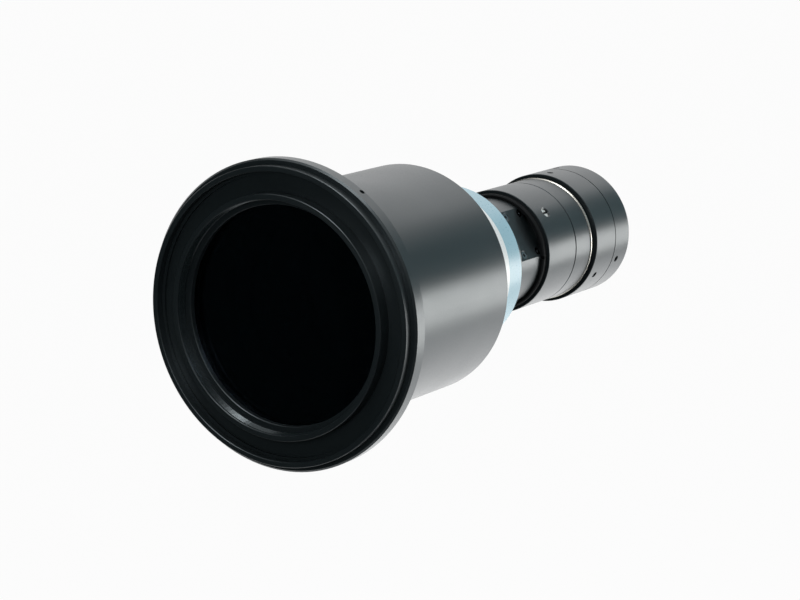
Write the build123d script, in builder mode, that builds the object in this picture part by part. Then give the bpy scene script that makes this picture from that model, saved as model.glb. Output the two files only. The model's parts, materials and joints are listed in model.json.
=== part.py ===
"""Bi-telecentric lens: wide front flange and barrel, banded hub, slim neck and a stepped rear body.

The optical axis is the Y axis. The object side faces -Y and the camera side faces +Y.
The origin is the centre of the seat that the camera's flange bears on. Millimetres.
"""
from build123d import *
from math import cos, radians, sin, sqrt
import os

os.makedirs("parts", exist_ok=True)

# Lengths along the axis, listed from the camera seat forward
mount_ring_length = 17.4
mount_ring_gap = 0.8
rear_housing_length = 23.8
rear_housing_gap = 2.9
accent_ring_length = 1.1
relay_housing_length = 17.8
relay_housing_gap = 0.9
stop_housing_length = 32.3
neck_showing = 50.7
hub_length = 48.0
barrel_length = 118.2
flange_thickness = 8.8

# Fits and edge breaks
slip = 0.05
cement = 0.02
edge_break = 0.3
rim_front_chamfer = 1.0
rim_back_chamfer = 0.8

# Front flange from its rim inward: raised lip, trough with a ledge, then the snout of the front cell
flange_radius = 84.0
lip_inset = 3.4
lip_wall = 3.0
lip_height = 4.8
trough_ledge = 1.6
trough_depth = 1.6
trough_width = 9.95
lip_outer_radius = flange_radius - lip_inset
lip_inner_radius = lip_outer_radius - lip_wall
trough_ledge_radius = lip_inner_radius - trough_ledge
snout_radius = trough_ledge_radius - trough_width

# Barrel, whose front end takes the spigot of the front cell
barrel_inset = 1.05
barrel_wall = 2.65
barrel_radius = snout_radius - barrel_inset
barrel_bore_radius = barrel_radius - barrel_wall

# Front cell and its glass
snout_height = 6.2
snout_wall = 3.15
cell_wall = 1.75
snout_bore_radius = snout_radius - snout_wall
spigot_radius = barrel_bore_radius - slip
front_glass_radius = spigot_radius - cell_wall - slip
front_glass_bevel = 1.3
front_ring_overlap = 1.0
front_clear_radius = front_glass_radius - front_glass_bevel
front_ring_bore_radius = front_glass_radius - front_ring_overlap
front_ring_recess = 7.4
front_bore_relief = 0.5
front_ring_length = 3.3
front_crown_rim = 4.0
front_spacer_length = 1.6
front_flint_centre = 5.4
front_ledge_length = 3.0
front_ledge_width = 2.1
front_ledge_radius = front_glass_radius - front_ledge_width
front_outer_curve_radius = 600.0
front_inner_curve_radius = 260.0
flint_hollow_curve_radius = 270.0
flint_back_curve_radius = 900.0

# Baffles in the barrel
baffle_count = 3
baffle_wall = 1.2
baffle_web = 1.5
baffle_bevel = 1.2
beam_margin = 2.0

# Hub and its bands
band_radius = 46.6
hub_plate_length = 10.0
hub_wall = 4.0
hub_end_wall = 6.0
band_thickness = 1.0
band_start = 2.0
white_band_length = 32.7
band_joint = 0.1

# Neck tube, its side port and the port's cover
neck_radius = 32.5
neck_wall = 8.5
neck_spigot_step = 2.5
neck_stop_wall = 5.5
neck_in_housing = 20.3
neck_stop_recess = 8.0
neck_bore_radius = neck_radius - neck_wall
neck_spigot_radius = neck_radius - neck_spigot_step
neck_stop_bore_radius = neck_radius - neck_stop_wall
port_angle = 30.8
port_flat_depth = 4.1
port_flat_height = neck_radius - port_flat_depth
port_cover_thickness = 1.5
port_cover_length = 28.8
port_cover_start = 25.0
port_window_width = 15.0
port_window_length = 9.0
port_screw_across = 24.8
port_screw_along = 15.8
port_screw_radius = 1.25
port_screw_head_radius = 2.35
port_screw_length = 4.2
port_screw_sink = 0.3
port_screw_socket = 2.0
port_screw_socket_depth = 1.1

# Lock ring on the neck
lock_ring_length = 3.5
lock_ring_wall = 2.4
lock_ring_radius = neck_radius + lock_ring_wall
lock_ring_chamfer = 0.7

# Aperture stop and its ring
stop_radius = 9.0
stop_thickness = 1.5
stop_ring_length = 3.5
stop_ring_wall = 4.0

# Rear housings and the spigots that join them
stop_housing_wall = 4.25
front_spigot_step = 3.4
front_spigot_wall = 6.4
accent_height = 0.5
rear_ring_step = 2.45
rear_spigot_step = 4.25
stop_spigot_length = 8.6
stop_spigot_gap = 1.1
relay_spigot_length = 15.3
rear_spigot_length = 11.9
front_rings_radius = neck_radius + slip + stop_housing_wall
spigot_wall_radius = front_rings_radius - front_spigot_step
rear_bore_radius = spigot_wall_radius - front_spigot_wall
accent_radius = front_rings_radius + accent_height
rear_rings_radius = front_rings_radius + rear_ring_step
rear_spigot_radius = rear_rings_radius - rear_spigot_step

# Relay glass behind the stop
meniscus_ledge = 1.5
meniscus_ledge_length = 2.0
meniscus_centre = 4.7
meniscus_hollow_curve_radius = 80.0
meniscus_back_curve_radius = 62.0
meniscus_ring_length = 3.0
meniscus_ring_wall = 2.2
relay_glass_wall = 6.0
relay_glass_bevel = 1.8
relay_glass_radius = rear_spigot_radius - relay_glass_wall
relay_clear_radius = relay_glass_radius - relay_glass_bevel
relay_ledge_length = 2.5
relay_crown_rim = 3.0
relay_flint_centre = 2.1
relay_crown_curve_radius = 70.0
relay_cement_curve_radius = 58.0
relay_flint_curve_radius = 160.0
relay_spacer_length = 1.5
relay_ring_length = 3.0
relay_ring_wall = 3.0

# Camera thread
thread_length = 4.5
thread_wall = 3.7
camera_seat_width = 3.25
thread_radius = rear_rings_radius - camera_seat_width
thread_bore_radius = thread_radius - thread_wall

# Radial screws
set_screw_radius = 2.0
set_screw_length = 3.0
set_screw_socket_depth = 1.4
flange_screw_radius = 1.5
flange_screw_length = 8.0
flange_screw_angle = 56.0
flange_screw_station = 6.3
rear_screw_angles = (87.5, 207.5, 327.5)
rear_screw_station = 8.6
mount_screw_angles = (98.8, 218.8, 338.8)
mount_screw_station = 5.6
clamp_screw_radius = 3.0
clamp_screw_length = 3.3
clamp_screw_angle = 41.8
clamp_screw_station = 11.7
clamp_slot_width = 1.4
clamp_slot_depth = 1.4
clamp_hole_chamfer = 0.5

# Spanner slots in the threaded rings
spanner_slot_width = 2.0
spanner_slot_depth = 1.0



def bulge(curve, reach):
    """Height of a spherical surface over the given reach, positive where it stands outward."""
    height = abs(curve) - sqrt(curve ** 2 - reach ** 2)
    return height if curve > 0 else -height


# Stations of the pieces that show, from the camera seat at zero forward
mount_front = -mount_ring_length
rear_back = mount_front - mount_ring_gap
rear_front = rear_back - rear_housing_length
accent_back = rear_front - rear_housing_gap
relay_back = accent_back - accent_ring_length
relay_front = relay_back - relay_housing_length
stop_back = relay_front - relay_housing_gap
stop_front = stop_back - stop_housing_length
hub_back = stop_front - neck_showing
hub_front = hub_back - hub_length
flange_back = hub_front - barrel_length
flange_front = flange_back - flange_thickness

# Stations inside the front
snout_front = flange_front - snout_height
front_ring_front = snout_front + front_ring_recess
crown_rim_front = front_ring_front + front_ring_length
crown_rim_back = crown_rim_front + front_crown_rim
flint_rim_front = crown_rim_back + front_spacer_length
front_flint_hollow = bulge(flint_hollow_curve_radius, front_ledge_radius)
front_flint_rim = front_flint_centre + front_flint_hollow - bulge(flint_back_curve_radius, front_ledge_radius)
flint_rim_back = flint_rim_front + front_flint_rim
cell_back = flint_rim_back + front_ledge_length
hub_plate_front = hub_front - hub_plate_length
hub_bore_radius = band_radius - band_thickness - hub_wall

# Stations inside the rear
neck_back = stop_front + neck_in_housing
neck_front = hub_back - hub_end_wall
stop_plate_front = neck_back - neck_stop_recess
stop_plate_back = stop_plate_front + stop_thickness
port_cover_front = hub_back + port_cover_start
port_cover_middle = port_cover_front + port_cover_length / 2
port_seat_height = port_flat_height - port_cover_thickness
stop_spigot_back = stop_back + stop_spigot_length
relay_spigot_back = relay_back + relay_spigot_length
stop_spigot_seat = stop_spigot_back + stop_spigot_gap
meniscus_rim_front = stop_spigot_seat + meniscus_ledge_length
meniscus_clear_radius = rear_bore_radius - meniscus_ring_wall - slip
meniscus_hollow = bulge(meniscus_hollow_curve_radius, meniscus_clear_radius)
meniscus_rim = meniscus_centre + meniscus_hollow - bulge(meniscus_back_curve_radius, meniscus_clear_radius)
meniscus_rim_back = meniscus_rim_front + meniscus_rim
relay_ledge_back = relay_spigot_back + relay_ledge_length
relay_crown_back = relay_ledge_back + relay_crown_rim
relay_flint_hollow = bulge(relay_cement_curve_radius, relay_clear_radius)
relay_flint_rim = relay_flint_centre + relay_flint_hollow - bulge(relay_flint_curve_radius, relay_clear_radius)
relay_flint_back_rim = relay_crown_back + cement + relay_flint_rim
relay_spacer_back = relay_flint_back_rim + relay_spacer_length
rear_spigot_back = rear_back + rear_spigot_length


def half_section(*points):
    """Face of a turned piece from its corners: radius across, station along the axis."""
    with BuildLine() as outline:
        Polyline(*points, close=True)
    make_face(outline.edges())


def lens_section(glass, clear, rim_front, rim_back, front_curve, back_curve):
    """Half section of a lens: flat ground rims, and a spherical surface inside the clear radius."""
    half = clear / 2
    front_top = rim_front - bulge(front_curve, clear)
    back_top = rim_back + bulge(back_curve, clear)
    with BuildLine() as outline:
        ThreePointArc((0, front_top), (half, front_top + bulge(front_curve, half)), (clear, rim_front))
        Polyline((clear, rim_front), (glass, rim_front), (glass, rim_back), (clear, rim_back))
        ThreePointArc((clear, rim_back), (half, back_top - bulge(back_curve, half)), (0, back_top))
        Line((0, back_top), (0, front_top))
    make_face(outline.edges())


def beam_radius(station):
    """Radius of the light cone that narrows from the front glass to the aperture stop."""
    share = (stop_plate_front - station) / (stop_plate_front - flange_front)
    return stop_radius + (front_clear_radius - stop_radius) * share


def radial_plane(angle, station, height, across=0.0):
    """Plane that faces outward at an angle about the axis, with its X axis along the optical axis."""
    outward = Vector(cos(radians(angle)), 0, sin(radians(angle)))
    sideways = Vector(-sin(radians(angle)), 0, cos(radians(angle)))
    origin = outward * height + sideways * across + Vector(0, station, 0)
    return Plane(origin=origin, x_dir=(0, 1, 0), z_dir=outward)


def spanner_slots(radius, station):
    """Cuts a pair of spanner slots across the face of a threaded ring."""
    with Locations((0, station, 0)):
        Box(2 * radius + 1, 2 * spanner_slot_depth, spanner_slot_width, mode=Mode.SUBTRACT)


# Seats of the radial screws
flange_screw_plane = radial_plane(flange_screw_angle, flange_front + flange_screw_station, flange_radius)
clamp_screw_plane = radial_plane(clamp_screw_angle, stop_front + clamp_screw_station, front_rings_radius)
rear_screw_planes = [radial_plane(a, rear_front + rear_screw_station, rear_rings_radius) for a in rear_screw_angles]
mount_screw_planes = [radial_plane(a, mount_front + mount_screw_station, rear_rings_radius) for a in mount_screw_angles]
port_plane = radial_plane(port_angle, port_cover_middle, port_flat_height)
port_seat_plane = radial_plane(port_angle, port_cover_middle, port_seat_height)
port_screw_planes = [
    radial_plane(port_angle, port_cover_middle + along * port_screw_along / 2, port_flat_height,
                 across * port_screw_across / 2)
    for along in (-1, 1)
    for across in (-1, 1)
]


def radial_set_screws(planes, depth, length, radius):
    """Set screws whose tips rest at a depth under their planes, with a socket one radius across flats."""
    tips = [plane.offset(-depth) for plane in planes]
    tops = [plane.offset(length - depth) for plane in planes]
    with BuildSketch(*tips) as shanks:
        Circle(radius - slip)
    extrude(shanks.sketch, amount=length)
    with BuildSketch(*tops) as sockets:
        RegularPolygon(radius=radius / 2, side_count=6, major_radius=False)
    extrude(sockets.sketch, amount=-set_screw_socket_depth, mode=Mode.SUBTRACT)


# Front flange
with BuildPart() as front_flange:
    with BuildSketch(Plane.XY):
        lip_front = flange_front - lip_height
        half_section(
            (snout_radius + slip, flange_front + trough_depth),
            (trough_ledge_radius, flange_front + trough_depth),
            (trough_ledge_radius, flange_front),
            (lip_inner_radius, flange_front),
            (lip_inner_radius, lip_front + edge_break),
            (lip_inner_radius + edge_break, lip_front),
            (lip_outer_radius - edge_break, lip_front),
            (lip_outer_radius, lip_front + edge_break),
            (lip_outer_radius, flange_front),
            (flange_radius - rim_front_chamfer, flange_front),
            (flange_radius, flange_front + rim_front_chamfer),
            (flange_radius, flange_back - rim_back_chamfer),
            (flange_radius - rim_back_chamfer, flange_back),
            (snout_radius + slip, flange_back),
        )
    revolve(axis=Axis.Y)
    with Locations(flange_screw_plane):
        Hole(radius=flange_screw_radius, depth=flange_radius - snout_radius)

with BuildPart() as flange_set_screw:
    radial_set_screws([flange_screw_plane], flange_radius - snout_radius - slip, flange_screw_length,
                      flange_screw_radius)

# Front cell, its retaining ring and its glass
with BuildPart() as front_cell:
    with BuildSketch(Plane.XY):
        half_section(
            (snout_bore_radius, snout_front + edge_break),
            (snout_bore_radius + edge_break, snout_front),
            (snout_radius - edge_break, snout_front),
            (snout_radius, snout_front + edge_break),
            (snout_radius, flange_back),
            (spigot_radius, flange_back),
            (spigot_radius, cell_back),
            (front_ledge_radius + slip, cell_back),
            (front_ledge_radius + slip, flint_rim_back),
            (front_glass_radius + slip, flint_rim_back),
            (front_glass_radius + slip, crown_rim_front + front_bore_relief),
            (snout_bore_radius, crown_rim_front + front_bore_relief),
        )
    revolve(axis=Axis.Y)

with BuildPart() as front_retaining_ring:
    with BuildSketch(Plane.XY):
        half_section(
            (front_ring_bore_radius + edge_break, front_ring_front),
            (snout_bore_radius - slip, front_ring_front),
            (snout_bore_radius - slip, crown_rim_front),
            (front_ring_bore_radius, crown_rim_front),
            (front_ring_bore_radius, front_ring_front + edge_break),
        )
    revolve(axis=Axis.Y)

with BuildPart() as front_crown_element:
    with BuildSketch(Plane.XY):
        lens_section(front_glass_radius, front_clear_radius, crown_rim_front, crown_rim_back,
                     front_outer_curve_radius, front_inner_curve_radius)
    revolve(axis=Axis.Y)

with BuildPart() as front_spacer:
    with BuildSketch(Plane.XY):
        half_section(
            (front_clear_radius + slip, crown_rim_back),
            (front_glass_radius, crown_rim_back),
            (front_glass_radius, flint_rim_front),
            (front_clear_radius + slip, flint_rim_front),
        )
    revolve(axis=Axis.Y)

with BuildPart() as front_flint_element:
    with BuildSketch(Plane.XY):
        lens_section(front_glass_radius, front_ledge_radius, flint_rim_front, flint_rim_back,
                     -flint_hollow_curve_radius, flint_back_curve_radius)
    revolve(axis=Axis.Y)

# Barrel
with BuildPart() as barrel:
    with BuildSketch(Plane.XY):
        half_section(
            (barrel_bore_radius, flange_back),
            (barrel_radius, flange_back),
            (barrel_radius, hub_front - edge_break),
            (barrel_radius - edge_break, hub_front),
            (barrel_bore_radius, hub_front),
        )
    revolve(axis=Axis.Y)

# Baffles stacked between the cell and the hub, each a skirt with a bevelled web at its front
baffles = []
baffle_pitch = (hub_plate_front - cell_back) / baffle_count
for number in range(baffle_count):
    web_front = cell_back + number * baffle_pitch
    hole = beam_radius(web_front) + beam_margin
    skirt = barrel_bore_radius - slip
    with BuildPart() as baffle:
        with BuildSketch(Plane.XY):
            half_section(
                (hole, web_front),
                (skirt, web_front),
                (skirt, web_front + baffle_pitch),
                (skirt - baffle_wall, web_front + baffle_pitch),
                (skirt - baffle_wall, web_front + baffle_web),
                (hole + baffle_bevel, web_front + baffle_web),
            )
        revolve(axis=Axis.Y)
    baffles.append(baffle)

# Hub with its two bands
with BuildPart() as hub:
    with BuildSketch(Plane.XY):
        half_section(
            (hub_bore_radius, hub_plate_front),
            (barrel_bore_radius - slip, hub_plate_front),
            (barrel_bore_radius - slip, hub_front),
            (band_radius - band_thickness, hub_front),
            (band_radius - band_thickness, hub_back),
            (neck_spigot_radius + slip, hub_back),
            (neck_spigot_radius + slip, neck_front),
            (hub_bore_radius, neck_front),
        )
    revolve(axis=Axis.Y)

white_band_front = hub_front + band_start
white_band_back = white_band_front + white_band_length
with BuildPart() as white_band:
    with BuildSketch(Plane.XY):
        half_section(
            (band_radius - band_thickness + slip, white_band_front),
            (band_radius, white_band_front),
            (band_radius, white_band_back),
            (band_radius - band_thickness + slip, white_band_back),
        )
    revolve(axis=Axis.Y)

with BuildPart() as blue_band:
    with BuildSketch(Plane.XY):
        half_section(
            (band_radius - band_thickness + slip, white_band_back + band_joint),
            (band_radius, white_band_back + band_joint),
            (band_radius, hub_back),
            (band_radius - band_thickness + slip, hub_back),
        )
    revolve(axis=Axis.Y)

# Neck tube with the milled seat of the side port
with BuildPart() as neck_tube:
    with BuildSketch(Plane.XY):
        half_section(
            (neck_bore_radius, neck_front),
            (neck_spigot_radius, neck_front),
            (neck_spigot_radius, hub_back),
            (neck_radius, hub_back),
            (neck_radius, neck_back),
            (neck_stop_bore_radius, neck_back),
            (neck_stop_bore_radius, stop_plate_front),
            (neck_bore_radius, stop_plate_front),
        )
    revolve(axis=Axis.Y)
    with BuildSketch(port_seat_plane):
        Rectangle(port_cover_length + 2 * slip, 2 * neck_radius)
    extrude(amount=neck_radius, mode=Mode.SUBTRACT)
    with BuildSketch(port_seat_plane):
        Rectangle(port_window_length, port_window_width)
    extrude(amount=-port_seat_height / 2, mode=Mode.SUBTRACT)
    with Locations(*port_screw_planes):
        Hole(radius=port_screw_radius, depth=port_screw_sink + port_screw_length + edge_break)

with BuildPart() as port_cover:
    with BuildSketch(Plane.XZ.offset(-port_cover_front)):
        Circle(neck_radius)
    extrude(amount=-port_cover_length)
    with BuildSketch(port_seat_plane):
        Rectangle(port_cover_length, 2 * neck_radius)
    extrude(amount=port_cover_thickness, mode=Mode.INTERSECT)
    with Locations(*port_screw_planes):
        CounterSinkHole(
            radius=port_screw_radius + slip,
            counter_sink_radius=port_screw_head_radius + port_screw_sink + slip,
            depth=port_cover_thickness,
            counter_sink_angle=90,
        )

port_head_planes = [plane.offset(-port_screw_sink) for plane in port_screw_planes]
with BuildPart() as port_cover_screws:
    with Locations(*port_head_planes):
        Cylinder(port_screw_radius - slip, port_screw_length, align=(Align.CENTER, Align.CENTER, Align.MAX))
        Cone(
            bottom_radius=port_screw_radius - slip,
            top_radius=port_screw_head_radius,
            height=port_screw_head_radius - port_screw_radius + slip,
            align=(Align.CENTER, Align.CENTER, Align.MAX),
        )
    with BuildSketch(*port_head_planes):
        RegularPolygon(radius=port_screw_socket / 2, side_count=6, major_radius=False)
    extrude(amount=-port_screw_socket_depth, mode=Mode.SUBTRACT)

# Lock ring on the neck, against the stop housing
lock_ring_front = stop_front - lock_ring_length
with BuildPart() as neck_lock_ring:
    with BuildSketch(Plane.XY):
        half_section(
            (neck_radius + slip, lock_ring_front),
            (lock_ring_radius - lock_ring_chamfer, lock_ring_front),
            (lock_ring_radius, lock_ring_front + lock_ring_chamfer),
            (lock_ring_radius, stop_front),
            (neck_radius + slip, stop_front),
        )
    revolve(axis=Axis.Y)
    spanner_slots(lock_ring_radius, lock_ring_front)

# Stop housing, clamped on the neck by a slotted screw
with BuildPart() as stop_housing:
    with BuildSketch(Plane.XY):
        half_section(
            (neck_radius + slip, stop_front),
            (front_rings_radius - edge_break, stop_front),
            (front_rings_radius, stop_front + edge_break),
            (front_rings_radius, stop_back),
            (spigot_wall_radius, stop_back),
            (spigot_wall_radius, stop_spigot_back),
            (rear_bore_radius, stop_spigot_back),
            (rear_bore_radius, neck_back),
            (neck_radius + slip, neck_back),
        )
    revolve(axis=Axis.Y)
    with Locations(clamp_screw_plane):
        Hole(radius=clamp_screw_radius, depth=front_rings_radius - neck_radius)
        Cone(
            bottom_radius=clamp_screw_radius,
            top_radius=clamp_screw_radius + clamp_hole_chamfer,
            height=clamp_hole_chamfer,
            align=(Align.CENTER, Align.CENTER, Align.MAX),
            mode=Mode.SUBTRACT,
        )

clamp_tip_plane = clamp_screw_plane.offset(neck_radius + slip - front_rings_radius)
with BuildPart() as neck_clamp_screw:
    with BuildSketch(clamp_tip_plane):
        Circle(clamp_screw_radius - slip)
    extrude(amount=clamp_screw_length)
    with BuildSketch(clamp_tip_plane.offset(clamp_screw_length)):
        Rectangle(2 * clamp_screw_radius, clamp_slot_width)
    extrude(amount=-clamp_slot_depth, mode=Mode.SUBTRACT)

# Aperture stop in the end of the neck
with BuildPart() as aperture_stop:
    with BuildSketch(Plane.XY):
        half_section(
            (stop_radius, stop_plate_front),
            (neck_stop_bore_radius - slip, stop_plate_front),
            (neck_stop_bore_radius - slip, stop_plate_back),
            (stop_radius + stop_thickness, stop_plate_back),
        )
    revolve(axis=Axis.Y)

with BuildPart() as stop_retaining_ring:
    with BuildSketch(Plane.XY):
        ring_back = stop_plate_back + stop_ring_length
        half_section(
            (neck_stop_bore_radius - stop_ring_wall, stop_plate_back),
            (neck_stop_bore_radius - slip, stop_plate_back),
            (neck_stop_bore_radius - slip, ring_back),
            (neck_stop_bore_radius - stop_ring_wall, ring_back),
        )
    revolve(axis=Axis.Y)
    spanner_slots(neck_stop_bore_radius, ring_back)

# Relay housing with the meniscus behind the stop
with BuildPart() as relay_housing:
    with BuildSketch(Plane.XY):
        half_section(
            (spigot_wall_radius + slip, relay_front),
            (front_rings_radius - edge_break, relay_front),
            (front_rings_radius, relay_front + edge_break),
            (front_rings_radius, relay_back),
            (spigot_wall_radius, relay_back),
            (spigot_wall_radius, relay_spigot_back),
            (rear_bore_radius + slip, relay_spigot_back),
            (rear_bore_radius + slip, meniscus_rim_front),
            (rear_bore_radius - meniscus_ledge, meniscus_rim_front),
            (rear_bore_radius - meniscus_ledge, stop_spigot_seat),
            (spigot_wall_radius + slip, stop_spigot_seat),
        )
    revolve(axis=Axis.Y)

with BuildPart() as relay_meniscus:
    with BuildSketch(Plane.XY):
        lens_section(rear_bore_radius, meniscus_clear_radius, meniscus_rim_front, meniscus_rim_back,
                     -meniscus_hollow_curve_radius, meniscus_back_curve_radius)
    revolve(axis=Axis.Y)

with BuildPart() as meniscus_ring:
    with BuildSketch(Plane.XY):
        half_section(
            (rear_bore_radius - meniscus_ring_wall, meniscus_rim_back),
            (rear_bore_radius, meniscus_rim_back),
            (rear_bore_radius, meniscus_rim_back + meniscus_ring_length),
            (rear_bore_radius - meniscus_ring_wall, meniscus_rim_back + meniscus_ring_length),
        )
    revolve(axis=Axis.Y)
    spanner_slots(rear_bore_radius, meniscus_rim_back + meniscus_ring_length)

# Accent ring on the relay housing's spigot, with a chamfer that faces forward
with BuildPart() as accent_ring:
    with BuildSketch(Plane.XY):
        accent_step = accent_radius - front_rings_radius
        half_section(
            (spigot_wall_radius + slip, relay_back),
            (front_rings_radius, relay_back),
            (accent_radius, relay_back + accent_step * 2 / 3),
            (accent_radius, accent_back),
            (spigot_wall_radius + slip, accent_back),
        )
    revolve(axis=Axis.Y)

# Rear housing, gripped on the relay spigot by three set screws
with BuildPart() as rear_housing:
    with BuildSketch(Plane.XY):
        half_section(
            (spigot_wall_radius + slip, rear_front),
            (rear_rings_radius - edge_break, rear_front),
            (rear_rings_radius, rear_front + edge_break),
            (rear_rings_radius, rear_back),
            (rear_spigot_radius, rear_back),
            (rear_spigot_radius, rear_spigot_back),
            (relay_glass_radius + slip, rear_spigot_back),
            (relay_glass_radius + slip, relay_ledge_back),
            (relay_clear_radius + slip, relay_ledge_back),
            (relay_clear_radius + slip, relay_spigot_back),
            (spigot_wall_radius + slip, relay_spigot_back),
        )
    revolve(axis=Axis.Y)
    with Locations(*rear_screw_planes):
        Hole(radius=set_screw_radius, depth=rear_rings_radius - spigot_wall_radius)

with BuildPart() as rear_housing_screws:
    radial_set_screws(rear_screw_planes, rear_rings_radius - spigot_wall_radius - slip, set_screw_length,
                      set_screw_radius)

with BuildPart() as relay_crown_element:
    with BuildSketch(Plane.XY):
        lens_section(relay_glass_radius, relay_clear_radius, relay_ledge_back, relay_crown_back,
                     relay_crown_curve_radius, relay_cement_curve_radius)
    revolve(axis=Axis.Y)

with BuildPart() as relay_flint_element:
    with BuildSketch(Plane.XY):
        lens_section(relay_glass_radius, relay_clear_radius, relay_crown_back + cement, relay_flint_back_rim,
                     -relay_cement_curve_radius, relay_flint_curve_radius)
    revolve(axis=Axis.Y)

with BuildPart() as relay_spacer:
    with BuildSketch(Plane.XY):
        half_section(
            (relay_clear_radius + slip, relay_flint_back_rim),
            (relay_glass_radius, relay_flint_back_rim),
            (relay_glass_radius, relay_spacer_back),
            (relay_clear_radius + slip, relay_spacer_back),
        )
    revolve(axis=Axis.Y)

with BuildPart() as relay_retaining_ring:
    with BuildSketch(Plane.XY):
        ring_back = relay_spacer_back + relay_ring_length
        half_section(
            (relay_glass_radius - relay_ring_wall, relay_spacer_back),
            (relay_glass_radius, relay_spacer_back),
            (relay_glass_radius, ring_back),
            (relay_glass_radius - relay_ring_wall, ring_back),
        )
    revolve(axis=Axis.Y)
    spanner_slots(relay_glass_radius, ring_back)

# Camera mount ring with its male thread, turned to suit the sensor and gripped by three set screws
with BuildPart() as camera_mount:
    with BuildSketch(Plane.XY):
        half_section(
            (rear_spigot_radius + slip, mount_front),
            (rear_rings_radius, mount_front),
            (rear_rings_radius, -edge_break),
            (rear_rings_radius - edge_break, 0),
            (thread_radius, 0),
            (thread_radius, thread_length - edge_break),
            (thread_radius - edge_break, thread_length),
            (thread_bore_radius, thread_length),
            (thread_bore_radius, rear_spigot_back),
            (rear_spigot_radius + slip, rear_spigot_back),
        )
    revolve(axis=Axis.Y)
    with Locations(*mount_screw_planes):
        Hole(radius=set_screw_radius, depth=rear_rings_radius - rear_spigot_radius)

with BuildPart() as camera_mount_screws:
    radial_set_screws(mount_screw_planes, rear_rings_radius - rear_spigot_radius - slip, set_screw_length,
                      set_screw_radius)

# One file for each piece
pieces = {
    "front_flange": front_flange,
    "flange_set_screw": flange_set_screw,
    "front_cell": front_cell,
    "front_retaining_ring": front_retaining_ring,
    "front_crown_element": front_crown_element,
    "front_spacer": front_spacer,
    "front_flint_element": front_flint_element,
    "barrel": barrel,
    "front_baffle": baffles[0],
    "middle_baffle": baffles[1],
    "rear_baffle": baffles[2],
    "hub": hub,
    "white_band": white_band,
    "blue_band": blue_band,
    "neck_tube": neck_tube,
    "port_cover": port_cover,
    "port_cover_screws": port_cover_screws,
    "neck_lock_ring": neck_lock_ring,
    "stop_housing": stop_housing,
    "neck_clamp_screw": neck_clamp_screw,
    "aperture_stop": aperture_stop,
    "stop_retaining_ring": stop_retaining_ring,
    "relay_housing": relay_housing,
    "relay_meniscus": relay_meniscus,
    "meniscus_ring": meniscus_ring,
    "accent_ring": accent_ring,
    "rear_housing": rear_housing,
    "rear_housing_screws": rear_housing_screws,
    "relay_crown_element": relay_crown_element,
    "relay_flint_element": relay_flint_element,
    "relay_spacer": relay_spacer,
    "relay_retaining_ring": relay_retaining_ring,
    "camera_mount": camera_mount,
    "camera_mount_screws": camera_mount_screws,
}
for name, piece in pieces.items():
    piece.part.label = name
    export_step(piece.part, f"parts/{name}.step")
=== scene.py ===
"""Looks of the bi-telecentric lens: finishes, fine threads, camera, studio."""
import json
from math import cos, pi, radians, sin

import bmesh
import bpy
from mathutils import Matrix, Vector


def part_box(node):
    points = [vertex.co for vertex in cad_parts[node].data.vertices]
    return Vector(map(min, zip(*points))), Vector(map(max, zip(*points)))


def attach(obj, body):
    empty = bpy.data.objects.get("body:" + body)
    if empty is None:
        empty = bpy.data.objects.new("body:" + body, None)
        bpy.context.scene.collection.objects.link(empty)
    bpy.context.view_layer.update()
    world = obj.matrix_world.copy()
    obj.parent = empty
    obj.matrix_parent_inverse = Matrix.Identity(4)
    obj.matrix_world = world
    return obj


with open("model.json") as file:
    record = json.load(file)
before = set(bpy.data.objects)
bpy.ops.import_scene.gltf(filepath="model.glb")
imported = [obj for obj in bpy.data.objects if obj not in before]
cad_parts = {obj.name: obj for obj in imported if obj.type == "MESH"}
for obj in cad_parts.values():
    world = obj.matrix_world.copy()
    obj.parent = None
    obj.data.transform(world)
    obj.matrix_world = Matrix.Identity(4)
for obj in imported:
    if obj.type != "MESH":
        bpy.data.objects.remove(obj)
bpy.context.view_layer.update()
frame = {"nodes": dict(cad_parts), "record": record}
nodes = frame["nodes"]


# Camera: the photograph's place and angle

CAMERA_AZIMUTH = 31.93
CAMERA_ELEVATION = 11.33
CAMERA_FROM_FRONT = Vector((0.803, -1.170, 0.293))
LENS_LENGTH = 123.75
SENSOR_WIDTH = 36.0
RIM_THICKNESS = 0.0088


def make_camera():
    """Camera at the photograph's viewing angle, placed from the front flange's face."""
    data = bpy.data.cameras.new("photo_camera")
    data.lens = LENS_LENGTH
    data.sensor_width = SENSOR_WIDTH
    camera = bpy.data.objects.new("photo_camera", data)
    bpy.context.scene.collection.objects.link(camera)
    flange_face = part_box("barrel")[0].y - RIM_THICKNESS
    camera.location = Vector((0, flange_face, 0)) + CAMERA_FROM_FRONT
    camera.rotation_euler = (radians(90 - CAMERA_ELEVATION), 0, radians(CAMERA_AZIMUTH))
    bpy.context.scene.camera = camera


# Node helpers

def new_material(name):
    """Empty material with its node tree, output and surface shader."""
    material = bpy.data.materials.new(name)
    material.use_nodes = True
    tree = material.node_tree
    shader = tree.nodes["Principled BSDF"]
    return material, tree, shader


def add(tree, kind, **inputs):
    """Adds a node and sets its inputs by name."""
    node = tree.nodes.new(kind)
    for name, value in inputs.items():
        node.inputs[name].default_value = value
    return node


def math(tree, operation, a, b):
    """Math node over two values or sockets."""
    node = tree.nodes.new("ShaderNodeMath")
    node.operation = operation
    for socket, value in zip(node.inputs, (a, b)):
        if isinstance(value, (int, float)):
            socket.default_value = value
        else:
            tree.links.new(value, socket)
    return node.outputs[0]


def noise(tree, scale, detail=3.0):
    """Noise over the object's own coordinates, in metres."""
    place = tree.nodes.new("ShaderNodeTexCoord")
    node = add(tree, "ShaderNodeTexNoise", Scale=scale, Detail=detail)
    tree.links.new(place.outputs["Object"], node.inputs["Vector"])
    return node.outputs["Fac"]


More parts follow.
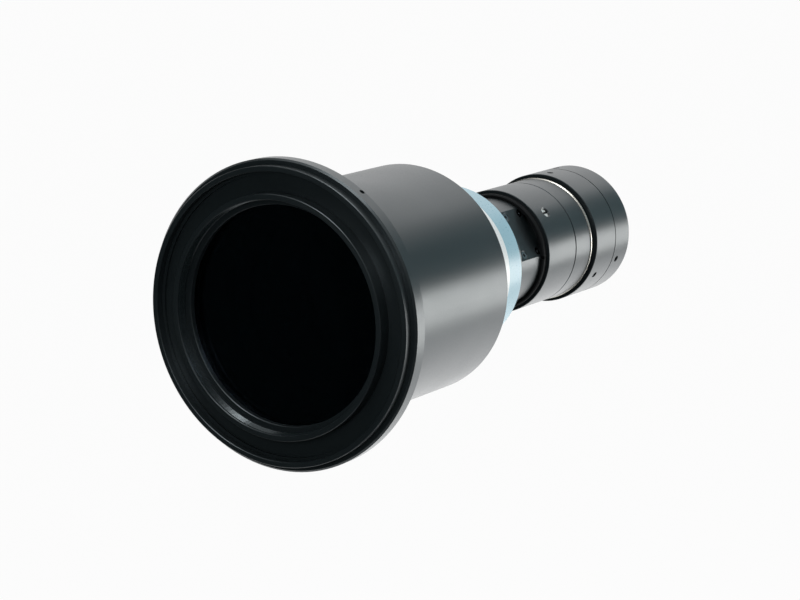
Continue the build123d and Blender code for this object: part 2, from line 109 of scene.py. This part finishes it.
def spread(tree, value, low, high):
    """Maps a noise value round one half to a low and a high value."""
    node = add(tree, "ShaderNodeMapRange")
    node.inputs["From Min"].default_value = 0.3
    node.inputs["From Max"].default_value = 0.7
    node.inputs["To Min"].default_value = low
    node.inputs["To Max"].default_value = high
    tree.links.new(value, node.inputs["Value"])
    return node.outputs["Result"]


def blend_colours(tree, factor, first, second):
    """Mixes two colours by a socket."""
    node = tree.nodes.new("ShaderNodeMix")
    node.data_type = "RGBA"
    colours = [socket for socket in node.inputs if socket.type == "RGBA"]
    colours[0].default_value = (*first, 1)
    colours[1].default_value = (*second, 1)
    tree.links.new(factor, node.inputs["Factor"])
    return next(socket for socket in node.outputs if socket.type == "RGBA")


def split_place(tree):
    """Node that splits the object's own coordinates."""
    place = tree.nodes.new("ShaderNodeTexCoord")
    split = tree.nodes.new("ShaderNodeSeparateXYZ")
    tree.links.new(place.outputs["Object"], split.inputs[0])
    return split


def radius_from_axis(tree):
    """Distance from the optical axis."""
    split = split_place(tree)
    square = math(tree, "ADD", math(tree, "MULTIPLY", split.outputs["X"], split.outputs["X"]),
                  math(tree, "MULTIPLY", split.outputs["Z"], split.outputs["Z"]))
    return math(tree, "SQRT", square, 0.0)


def turning_marks(tree, pitch):
    """Height of fine lathe marks: rings along the axis and across the turned faces."""
    path = math(tree, "ADD", radius_from_axis(tree), split_place(tree).outputs["Y"])
    return math(tree, "SINE", math(tree, "MULTIPLY", path, 2 * pi / pitch), 0.0)


def bump(tree, shader, layers):
    """Chains bump layers of (height socket, strength, distance in metres) into the shader's normal."""
    normal = None
    for height, strength, distance in layers:
        node = add(tree, "ShaderNodeBump", Strength=strength, Distance=distance)
        tree.links.new(height, node.inputs["Height"])
        if normal:
            tree.links.new(normal, node.inputs["Normal"])
        normal = node.outputs["Normal"]
    tree.links.new(normal, shader.inputs["Normal"])


# Finishes

GRAIN_SCALE = 4200.0
SPECKLE_SCALE = 1300.0
CLOUD_SCALE = 28.0
DUST_SCALE = 900.0
PEEL_SCALE = 2500.0
PLATING_SCALE = 300.0
POLISH_SCALE = 1500.0
SMEAR_SCALE = 40.0
TURNING_PITCH = 0.00035
METAL_TURNING_PITCH = 0.0002
COOL_SHEEN = (0.84, 0.95, 1.0)


def anodised(name, dark, light, rough, ior, stretch, grain):
    """Dyed anodised metal: fine blasted grain over faint turning marks, with a cloudy sheen."""
    material, tree, shader = new_material(name)
    cloud = noise(tree, CLOUD_SCALE)
    fine = noise(tree, GRAIN_SCALE, 2.0)
    speckle = noise(tree, SPECKLE_SCALE, 2.0)
    tree.links.new(blend_colours(tree, cloud, dark, light), shader.inputs["Base Color"])
    uneven = math(tree, "ADD", math(tree, "MULTIPLY", cloud, 0.4), math(tree, "MULTIPLY", speckle, 0.6))
    tree.links.new(spread(tree, uneven, rough[0], rough[1]), shader.inputs["Roughness"])
    shader.inputs["IOR"].default_value = ior
    shader.inputs["Specular Tint"].default_value = (*COOL_SHEEN, 1)
    shader.inputs["Anisotropic"].default_value = stretch
    shader.inputs["Anisotropic Rotation"].default_value = 0.25
    tangent = tree.nodes.new("ShaderNodeTangent")
    tangent.direction_type = "RADIAL"
    tangent.axis = "Y"
    tree.links.new(tangent.outputs[0], shader.inputs["Tangent"])
    bump(tree, shader, [(fine, grain, 0.00002), (turning_marks(tree, TURNING_PITCH), 0.05, 0.00001)])
    return material


def coated(name, dark, light, rough):
    """Matt paint with a faint orange peel and a little dust in its tone."""
    material, tree, shader = new_material(name)
    tree.links.new(blend_colours(tree, noise(tree, CLOUD_SCALE), dark, light), shader.inputs["Base Color"])
    tree.links.new(spread(tree, noise(tree, DUST_SCALE), rough[0], rough[1]), shader.inputs["Roughness"])
    bump(tree, shader, [(noise(tree, PEEL_SCALE), 0.08, 0.00002)])
    return material


def bare_metal(name, dark, light, rough):
    """Plated or bare turned metal."""
    material, tree, shader = new_material(name)
    tree.links.new(blend_colours(tree, noise(tree, PLATING_SCALE), dark, light), shader.inputs["Base Color"])
    tree.links.new(spread(tree, noise(tree, POLISH_SCALE), rough[0], rough[1]), shader.inputs["Roughness"])
    shader.inputs["Metallic"].default_value = 1.0
    bump(tree, shader, [(turning_marks(tree, METAL_TURNING_PITCH), 0.08, 0.00001)])
    return material


def coated_glass(name):
    """Optical glass with a coating that leaves only a faint cool reflection."""
    material, tree, shader = new_material(name)
    smear = noise(tree, SMEAR_SCALE)
    tint = blend_colours(tree, smear, (0.20, 0.22, 0.22), (0.24, 0.26, 0.27))
    tree.links.new(tint, shader.inputs["Base Color"])
    tree.links.new(spread(tree, smear, 0.01, 0.03), shader.inputs["Roughness"])
    shader.inputs["Transmission Weight"].default_value = 1.0
    shader.inputs["IOR"].default_value = 1.5
    shader.inputs["Specular IOR Level"].default_value = 0.12
    shader.inputs["Specular Tint"].default_value = (0.55, 0.75, 1.0, 1)
    return material


BLACK_DYE = (0.0050, 0.0075, 0.0085), (0.0070, 0.0100, 0.0112)
SATIN = (0.29, 0.37), 1.6, 0.4, 0.12


def dress():
    """Gives each CAD node its finish by the record's slot; the lock ring gets a darker, duller black that
    paints in the shade falling round it.
    """
    finishes = {
        "black_anodised": anodised("black_anodised", *BLACK_DYE, *SATIN),
        # Duller, darker black for the lock ring: partly a matt finish, partly painted shade for the dark
        # recess beside the stop housing.
        "matt_black": anodised("matt_black", (0.002, 0.002, 0.0022), (0.003, 0.003, 0.0033),
                               (0.55, 0.7), 1.3, 0.0, 0.2),
        "dark_steel": bare_metal("dark_steel", (0.16, 0.17, 0.18), (0.22, 0.23, 0.24), (0.16, 0.26)),
        "bright_steel": bare_metal("bright_steel", (0.72, 0.71, 0.68), (0.82, 0.81, 0.79), (0.18, 0.3)),
        "champagne": bare_metal("champagne", (0.66, 0.645, 0.59), (0.73, 0.715, 0.665), (0.26, 0.34)),
        "white_coat": coated("white_coat", (0.74, 0.80, 0.81), (0.79, 0.85, 0.86), (0.26, 0.34)),
        "blue_coat": coated("blue_coat", (0.29, 0.49, 0.58), (0.31, 0.52, 0.61), (0.26, 0.34)),
        "coated_glass": coated_glass("coated_glass"),
        "thread": anodised("thread", *BLACK_DYE, (0.14, 0.2), 1.6, 0.0, 0.05),
    }
    for entry in frame["record"]["subparts"]:
        node = nodes[entry["node"]]
        # The lock ring's darker black paints in the shade that falls there, on top of its matt finish.
        name = "matt_black" if entry["node"] == "neck_lock_ring" else entry["material_slot"]
        for slot in node.material_slots:
            slot.material = finishes[name]
    return finishes


# Fine threads, which the solids leave plain

THREAD_STEPS = 144
THREAD_ROOT = 0.0001
RUNOUT_RATE = 6
ROOT_SHARE = 0.48
CREST_SHARE = 0.06

SNOUT_BORE_RADIUS = 0.0629
SNOUT_PITCH = 0.0010
SNOUT_DEPTH = -0.00035
SNOUT_LEAD_IN = 0.0007
MOUNT_THREAD_RADIUS = 0.0360
MOUNT_PITCH = 0.00075
MOUNT_DEPTH = 0.00022
MOUNT_LEAD_IN = 0.0003
LEAD_OUT = 0.0002


def thread(name, radius, start, end, pitch, depth, finish):
    """Helical ridge on a round wall: depth is outward, or inward where it is negative."""
    mesh = bpy.data.meshes.new(name)
    form = bmesh.new()
    turns = (end - start) / pitch - 1
    count = round(turns * THREAD_STEPS)
    root = radius - (THREAD_ROOT if depth > 0 else -THREAD_ROOT)
    sections = []
    for step in range(count + 1):
        angle = 2 * pi * step / THREAD_STEPS
        runout = min(1.0, RUNOUT_RATE * step / THREAD_STEPS, RUNOUT_RATE * (count - step) / THREAD_STEPS)
        crest = radius + depth * runout
        middle = start + pitch * (0.5 + step / THREAD_STEPS)
        profile = (root, -ROOT_SHARE), (crest, -CREST_SHARE), (crest, CREST_SHARE), (root, ROOT_SHARE)
        sections.append([
            form.verts.new((reach * cos(angle), middle + shift * pitch, reach * sin(angle)))
            for reach, shift in profile
        ])
    for first, second in zip(sections, sections[1:]):
        for k in range(4):
            form.faces.new((first[k], first[(k + 1) % 4], second[(k + 1) % 4], second[k]))
    form.faces.new(sections[0])
    form.faces.new(reversed(sections[-1]))
    bmesh.ops.recalc_face_normals(form, faces=form.faces)
    form.to_mesh(mesh)
    form.free()
    piece = bpy.data.objects.new(name, mesh)
    bpy.context.scene.collection.objects.link(piece)
    mesh.materials.append(finish)
    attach(piece, "root")


def cut_threads(finishes):
    """Thread for the front ring inside the snout, and the camera thread."""
    cell_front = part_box("front_cell")[0].y
    ring_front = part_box("front_retaining_ring")[0].y
    thread("snout_thread", SNOUT_BORE_RADIUS, cell_front + SNOUT_LEAD_IN, ring_front - LEAD_OUT,
           SNOUT_PITCH, SNOUT_DEPTH, finishes["thread"])
    mount_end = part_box("camera_mount")[1].y
    thread("camera_thread", MOUNT_THREAD_RADIUS, MOUNT_LEAD_IN, mount_end - LEAD_OUT,
           MOUNT_PITCH, MOUNT_DEPTH, finishes["thread"])


# Studio: pale floor, white surroundings, softboxes behind and above, dark cards in front

FLOOR_HEIGHT = -1.10
FLOOR_SIZE = 40
FLOOR_GLOW = 0.94
AMBIENT = 0.55


def white_to_view(tree):
    """Socket that is 1 on camera, glossy and transmission rays."""
    path = tree.nodes.new("ShaderNodeLightPath")
    seen = math(tree, "MAXIMUM", path.outputs["Is Camera Ray"], path.outputs["Is Glossy Ray"])
    return math(tree, "MAXIMUM", seen, path.outputs["Is Transmission Ray"])


def make_world():
    """World that is white to view and a plain soft light on the object."""
    world = bpy.data.worlds.new("studio")
    world.use_nodes = True
    bpy.context.scene.world = world
    tree = world.node_tree
    background = tree.nodes["Background"]
    background.inputs["Color"].default_value = (1, 1, 1, 1)
    strength = math(tree, "ADD", AMBIENT, math(tree, "MULTIPLY", white_to_view(tree), 1 - AMBIENT))
    tree.links.new(strength, background.inputs["Strength"])


def panel(name, centre, facing, width, height):
    """Flat rectangular mesh that faces a point."""
    mesh = bpy.data.meshes.new(name)
    corners = [(x * width / 2, y * height / 2, 0) for x, y in ((-1, -1), (1, -1), (1, 1), (-1, 1))]
    mesh.from_pydata(corners, [], [(0, 1, 2, 3)])
    piece = bpy.data.objects.new(name, mesh)
    bpy.context.scene.collection.objects.link(piece)
    piece.location = centre
    piece.rotation_euler = (Vector(facing) - Vector(centre)).to_track_quat("Z", "Y").to_euler()
    return piece


def make_floor():
    """Pale floor whose own colour is white to view and that keeps part of the shadow."""
    floor = panel("floor", (0, 0, FLOOR_HEIGHT), (0, 0, 1), FLOOR_SIZE, FLOOR_SIZE)
    material, tree, shader = new_material("floor")
    shader.inputs["Base Color"].default_value = (0.85, 0.85, 0.85, 1)
    shader.inputs["Roughness"].default_value = 0.9
    glow = add(tree, "ShaderNodeEmission", Strength=1.0)
    mix = tree.nodes.new("ShaderNodeMixShader")
    tree.links.new(math(tree, "MULTIPLY", white_to_view(tree), FLOOR_GLOW), mix.inputs[0])
    tree.links.new(shader.outputs[0], mix.inputs[1])
    tree.links.new(glow.outputs[0], mix.inputs[2])
    output = tree.nodes["Material Output"]
    tree.links.new(mix.outputs[0], output.inputs["Surface"])
    floor.data.materials.append(material)


def lamp(name, centre, facing, width, height, watts, colour=(1.0, 1.0, 1.0)):
    """Soft rectangular lamp."""
    data = bpy.data.lights.new(name, "AREA")
    data.color = colour
    data.shape = "RECTANGLE"
    data.size = width
    data.size_y = height
    data.energy = watts
    light = bpy.data.objects.new(name, data)
    bpy.context.scene.collection.objects.link(light)
    light.location = centre
    light.rotation_euler = (Vector(facing) - Vector(centre)).to_track_quat("-Z", "Y").to_euler()


def card(name, centre, facing, width, height, tone):
    """Dull card that only reflections show."""
    piece = panel(name, centre, facing, width, height)
    material, _, shader = new_material(name)
    shader.inputs["Base Color"].default_value = (*tone, 1)
    shader.inputs["Roughness"].default_value = 0.9
    shader.inputs["Specular IOR Level"].default_value = 0.0
    piece.data.materials.append(material)
    piece.visible_camera = False
    piece.visible_diffuse = False
    piece.visible_shadow = False


def make_cards():
    """Dark cards keep the room out of the front faces, a slate one darkens the band above the low lamp."""
    black = (0.018, 0.026, 0.026)
    card("front_card", (0.0, -1.15, 0.0), (0.0, -0.32, 0.0), 8.0, 2.2, black)
    card("front_floor_card", (-0.3, -0.85, -0.92), (-0.3, -0.85, 0.0), 5.0, 0.7, black)
    card("front_left_card", (-1.3, -0.75, 0.3), (0.0, -0.32, 0.0), 1.2, 2.4, black)
    card("side_card", (1.06, 1.60, 0.62), (0.0, -0.15, 0.0), 2.2, 1.0, (0.30, 0.44, 0.48))


def light_studio():
    """Softboxes round the lens."""
    middle = (0.0, -0.16, 0.0)
    lamp("low_softbox", (1.0, 1.45, -0.31), (0.0, 1.45, -0.31), 1.8, 0.66, 21, (1.0, 0.98, 0.95))
    lamp("floor_softbox", (0.15, 1.3, -0.95), (0.15, 1.3, 0.0), 2.4, 1.7, 15)
    lamp("overhead_softbox", (-0.6, 1.1, 1.2), middle, 2.4, 1.6, 6)
    lamp("front_softbox", (0.225, -0.965, 0.21), (-0.05, -0.32, -0.03), 0.25, 0.2, 1.5)
    lamp("top_softbox", (0.1, -0.75, 0.95), (0.0, -0.32, 0.0), 0.6, 0.3, 3.4)


bpy.context.scene.view_settings.view_transform = "Standard"
make_camera()
cut_threads(dress())
make_world()
make_floor()
make_cards()
light_studio()
